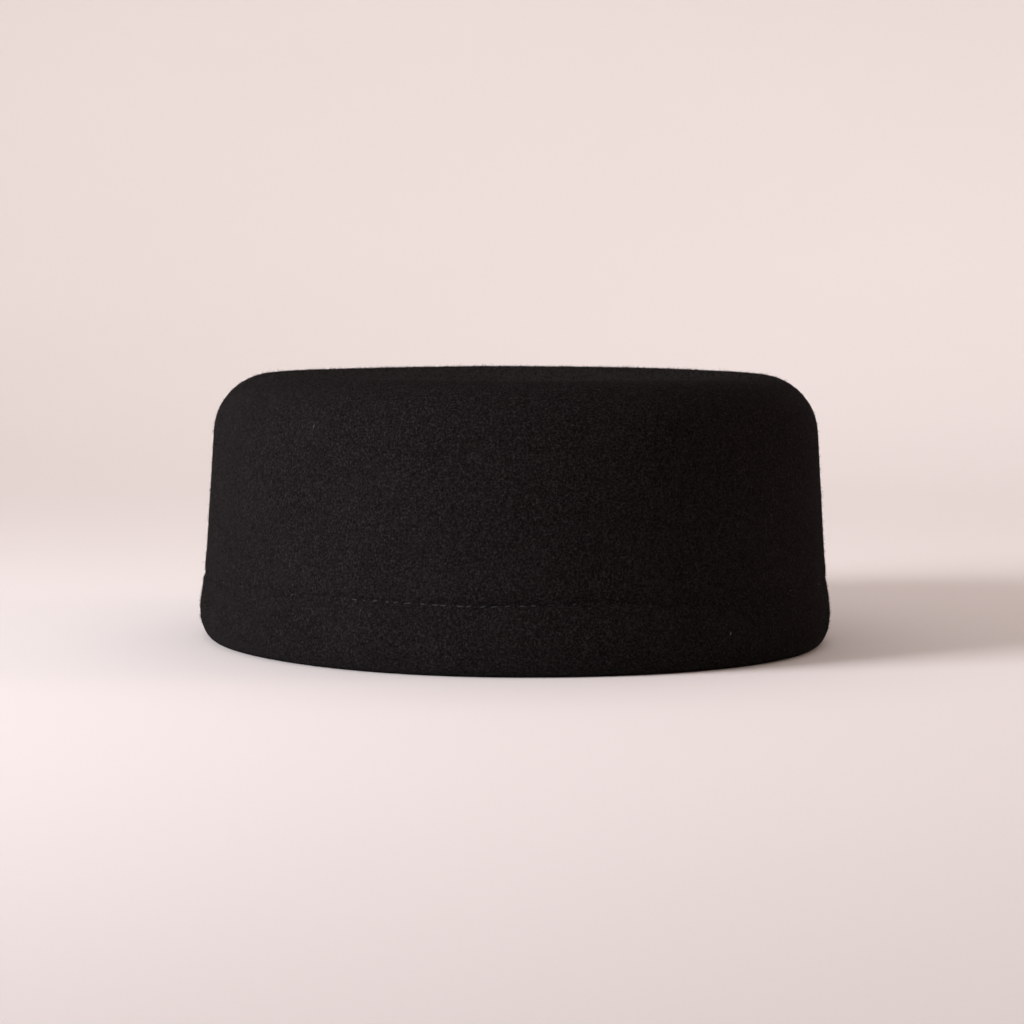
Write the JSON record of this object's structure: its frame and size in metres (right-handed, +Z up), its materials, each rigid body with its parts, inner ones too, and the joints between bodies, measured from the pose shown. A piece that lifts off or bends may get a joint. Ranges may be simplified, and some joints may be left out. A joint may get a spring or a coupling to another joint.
{
  "type": "pillbox hat",
  "caption": "Oval pillbox hat of dark felt: flat round-edged top, upright side, hem turned under and sewn in a soft roll at the rim, band and small cord loop inside.",
  "frame": {"origin": "middle of the rim's oval, on the plane that the rim rests on", "axes": "+Z up through the top, -Y towards the front, +X towards the wearer's left"},
  "size_m": [0.188, 0.22, 0.081],
  "materials": {
    "felt": "matt black wool felt with a short nap",
    "band_cloth": "matt black ribbon",
    "loop_cord": "dark grey cord with a slight sheen"
  },
  "bodies": {
    "root": {"felt_crown": "felt", "inner_band": "band_cloth", "side_loop": "loop_cord"}
  },
  "joints": []
}
